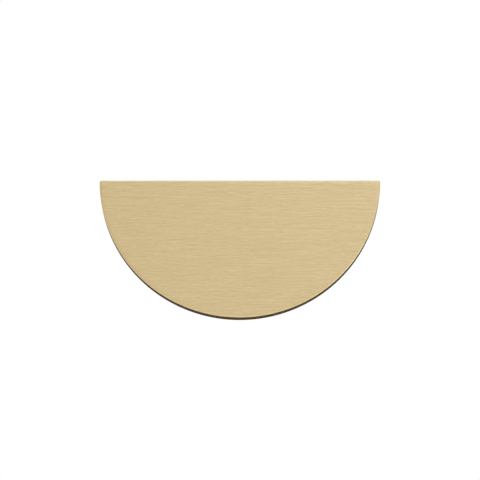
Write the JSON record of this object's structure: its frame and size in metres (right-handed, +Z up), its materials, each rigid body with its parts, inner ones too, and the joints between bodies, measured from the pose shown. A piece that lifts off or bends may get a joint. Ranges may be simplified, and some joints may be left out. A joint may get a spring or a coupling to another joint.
{
  "type": "half moon cabinet pull",
  "caption": "Half-round brushed brass cabinet pull: a flat half-disc plate with its straight edge up, held off the drawer front by two round posts with tapped screw holes.",
  "frame": {"origin": "on the drawer front's face, midway between the two screw holes", "axes": "+X along the straight edge, to the right seen from the front; +Y into the drawer front, so the plate faces -Y; +Z up, towards the straight edge"},
  "size_m": [0.1, 0.025, 0.05],
  "materials": {
    "brushed_brass": "brushed along the straight edge, satin"
  },
  "bodies": {
    "root": {"half_moon_pull": "brushed_brass"}
  },
  "joints": []
}
